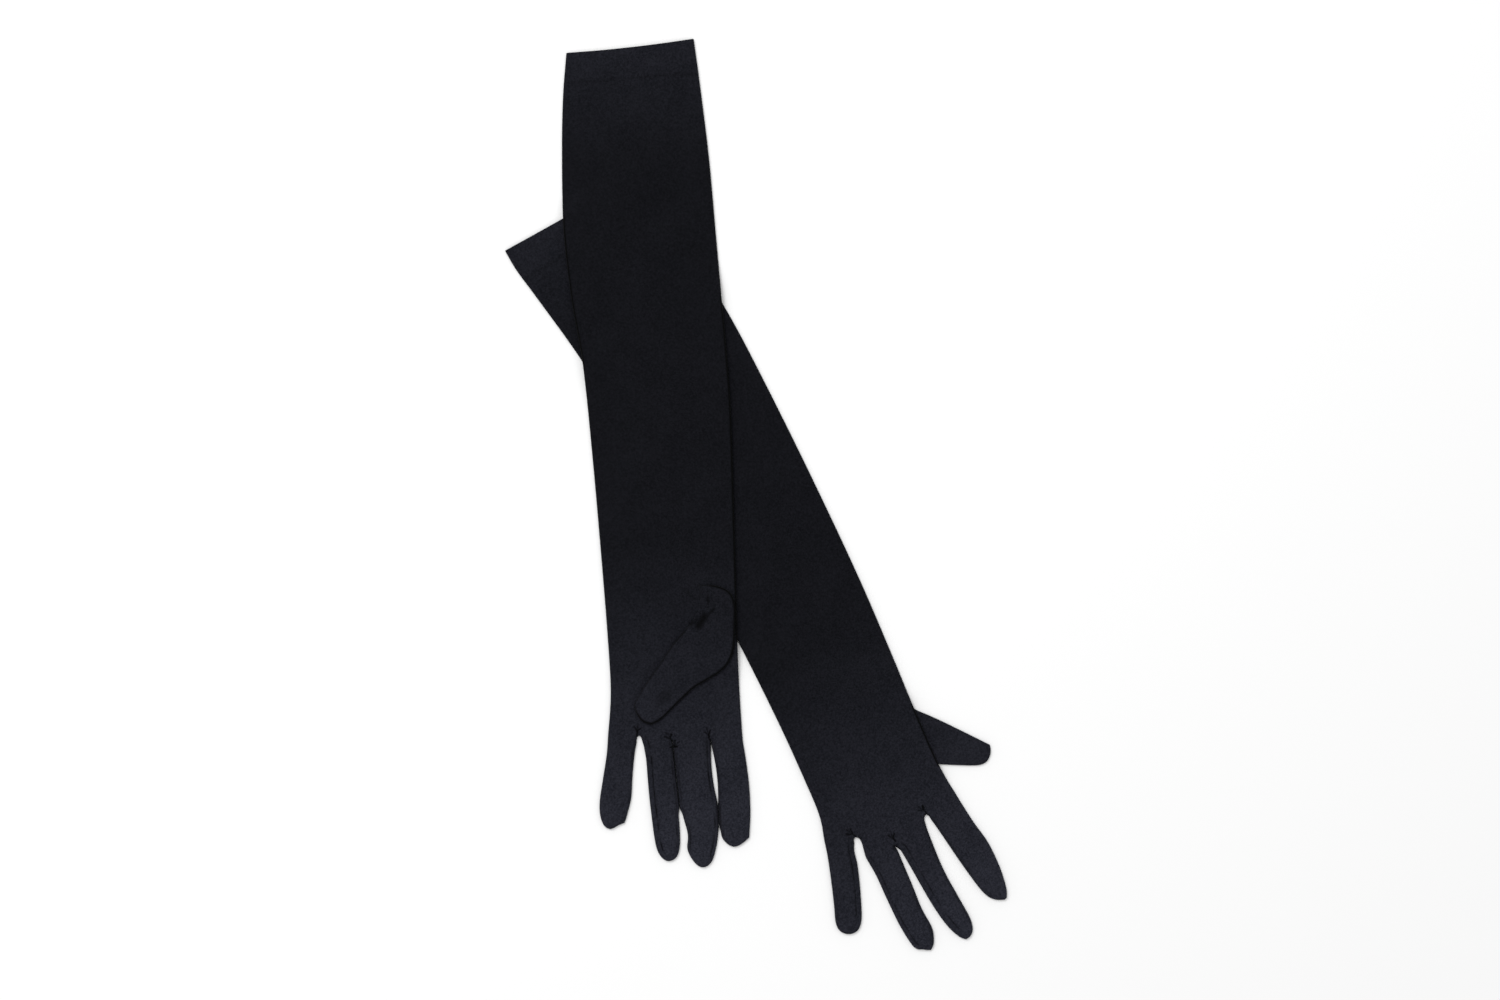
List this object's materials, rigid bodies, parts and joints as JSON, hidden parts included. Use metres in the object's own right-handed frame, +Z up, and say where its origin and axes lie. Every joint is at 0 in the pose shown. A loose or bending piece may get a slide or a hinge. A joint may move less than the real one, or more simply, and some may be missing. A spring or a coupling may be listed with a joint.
{
  "type": "opera gloves",
  "caption": "Pair of long black fabric opera gloves lying flat and crossed, with folding wrists, fingers and thumbs.",
  "frame": {"origin": "middle of the footprint of the pair, on the surface that it lies on", "axes": "+Y from the fingertips towards the cuff of the left glove, +X towards the side that the right thumb points to, +Z up"},
  "size_m": [0.3412, 0.6194, 0.0092],
  "materials": {
    "fourchette_cloth": "the same knit, narrow strips between the fingers",
    "left_cloth": "matt black stretch knit with a soft satin bloom",
    "right_cloth": "matt black stretch knit with a soft satin bloom",
    "turned_cloth": "inner side of the knit, where it is turned in at hem and seam"
  },
  "bodies": {
    "right_arm": {"right_hem_back": "turned_cloth", "right_hem_palm": "turned_cloth", "right_sleeve_back": "right_cloth", "right_sleeve_fold": "right_cloth", "right_sleeve_palm": "right_cloth", "right_sleeve_seam": "turned_cloth"},
    "right_hand": {"right_hand_back": "right_cloth", "right_hand_fold": "right_cloth", "right_hand_palm": "right_cloth", "right_hand_seam": "turned_cloth", "right_thumb_root": "right_cloth"},
    "right_little": {"right_little_back": "right_cloth", "right_little_fourchette_inner": "fourchette_cloth", "right_little_palm": "right_cloth"},
    "right_ring": {"right_ring_back": "right_cloth", "right_ring_fourchette_inner": "fourchette_cloth", "right_ring_fourchette_outer": "fourchette_cloth", "right_ring_palm": "right_cloth"},
    "right_middle": {"right_middle_back": "right_cloth", "right_middle_fourchette_inner": "fourchette_cloth", "right_middle_fourchette_outer": "fourchette_cloth", "right_middle_palm": "right_cloth"},
    "right_index": {"right_index_back": "right_cloth", "right_index_fourchette_outer": "fourchette_cloth", "right_index_palm": "right_cloth"},
    "right_thumb": {"right_thumb_top": "right_cloth", "right_thumb_under": "right_cloth"},
    "left_arm": {"left_forearm_back": "left_cloth", "left_forearm_fold": "left_cloth", "left_forearm_palm": "left_cloth", "left_forearm_seam": "turned_cloth"},
    "left_upper": {"left_hem_back": "turned_cloth", "left_hem_palm": "turned_cloth", "left_upper_back": "left_cloth", "left_upper_fold": "left_cloth", "left_upper_palm": "left_cloth", "left_upper_seam": "turned_cloth"},
    "left_hand": {"left_hand_back": "left_cloth", "left_hand_fold": "left_cloth", "left_hand_palm": "left_cloth", "left_hand_seam": "turned_cloth", "left_thumb_root": "left_cloth"},
    "left_little": {"left_little_back": "left_cloth", "left_little_fourchette_inner": "fourchette_cloth", "left_little_palm": "left_cloth"},
    "left_ring": {"left_ring_back": "left_cloth", "left_ring_fourchette_inner": "fourchette_cloth", "left_ring_fourchette_outer": "fourchette_cloth", "left_ring_palm": "left_cloth"},
    "left_middle": {"left_middle_back": "left_cloth", "left_middle_fourchette_inner": "fourchette_cloth", "left_middle_fourchette_outer": "fourchette_cloth", "left_middle_palm": "left_cloth"},
    "left_index": {"left_index_back": "left_cloth", "left_index_fourchette_outer": "fourchette_cloth", "left_index_palm": "left_cloth"},
    "left_thumb": {"left_thumb_top": "left_cloth", "left_thumb_under": "left_cloth"}
  },
  "joints": [
    {"name": "right_wrist_fold", "type": "hinge", "parent": "right_arm", "child": "right_hand", "pos_m": [0.04623, -0.10972, 0.0033], "axis": [-0.8572, -0.515, 0], "range_deg": [0, 90]},
    {"name": "right_little_fold", "type": "hinge", "parent": "right_hand", "child": "right_little", "pos_m": [0.05696, -0.23428, 0.0033], "axis": [-0.992, -0.1258, 0], "range_deg": [0, 90]},
    {"name": "right_ring_fold", "type": "hinge", "parent": "right_hand", "child": "right_ring", "pos_m": [0.08514, -0.24302, 0.0033], "axis": [-0.8987, -0.4385, 0], "range_deg": [0, 90]},
    {"name": "right_middle_fold", "type": "hinge", "parent": "right_hand", "child": "right_middle", "pos_m": [0.10621, -0.23246, 0.0033], "axis": [-0.879, -0.4768, 0], "range_deg": [0, 90]},
    {"name": "right_index_fold", "type": "hinge", "parent": "right_hand", "child": "right_index", "pos_m": [0.12905, -0.21494, 0.0033], "axis": [-0.8275, -0.5614, 0], "range_deg": [0, 90]},
    {"name": "right_thumb_fold", "type": "hinge", "parent": "right_hand", "child": "right_thumb", "pos_m": [0.11706, -0.16527, 0.0023], "axis": [0.402, -0.9156, 0], "range_deg": [0, 90]},
    {"name": "left_glove_lift", "type": "slide", "parent": "right_arm", "child": "left_arm", "axis": [0, 0, 1], "range_m": [0, 0.15]},
    {"name": "left_elbow_fold", "type": "hinge", "parent": "left_arm", "child": "left_upper", "pos_m": [-0.07616, 0.17504, 0.0068], "axis": [0.9973, 0.0732, 0], "range_deg": [0, 90]},
    {"name": "left_wrist_fold", "type": "hinge", "parent": "left_arm", "child": "left_hand", "pos_m": [-0.0599, -0.04636, 0.0068], "axis": [-0.9973, -0.0732, 0], "range_deg": [0, 90]},
    {"name": "left_little_fold", "type": "hinge", "parent": "left_hand", "child": "left_little", "pos_m": [-0.08988, -0.16237, 0.0068], "axis": [-0.9899, 0.1418, 0], "range_deg": [0, 90]},
    {"name": "left_ring_fold", "type": "hinge", "parent": "left_hand", "child": "left_ring", "pos_m": [-0.06674, -0.16749, 0.0068], "axis": [-0.9973, -0.0733, 0], "range_deg": [0, 90]},
    {"name": "left_middle_fold", "type": "hinge", "parent": "left_hand", "child": "left_middle", "pos_m": [-0.0434, -0.16728, 0.0068], "axis": [-0.9973, -0.0732, 0], "range_deg": [0, 90]},
    {"name": "left_index_fold", "type": "hinge", "parent": "left_hand", "child": "left_index", "pos_m": [-0.01939, -0.16918, 0.0068], "axis": [-0.9962, -0.0872, 0], "range_deg": [0, 90]},
    {"name": "left_thumb_fold", "type": "hinge", "parent": "left_hand", "child": "left_thumb", "pos_m": [-0.01291, -0.08683, 0.00685], "axis": [-0.0733, 0.9973, 0], "range_deg": [0, 120]}
  ]
}
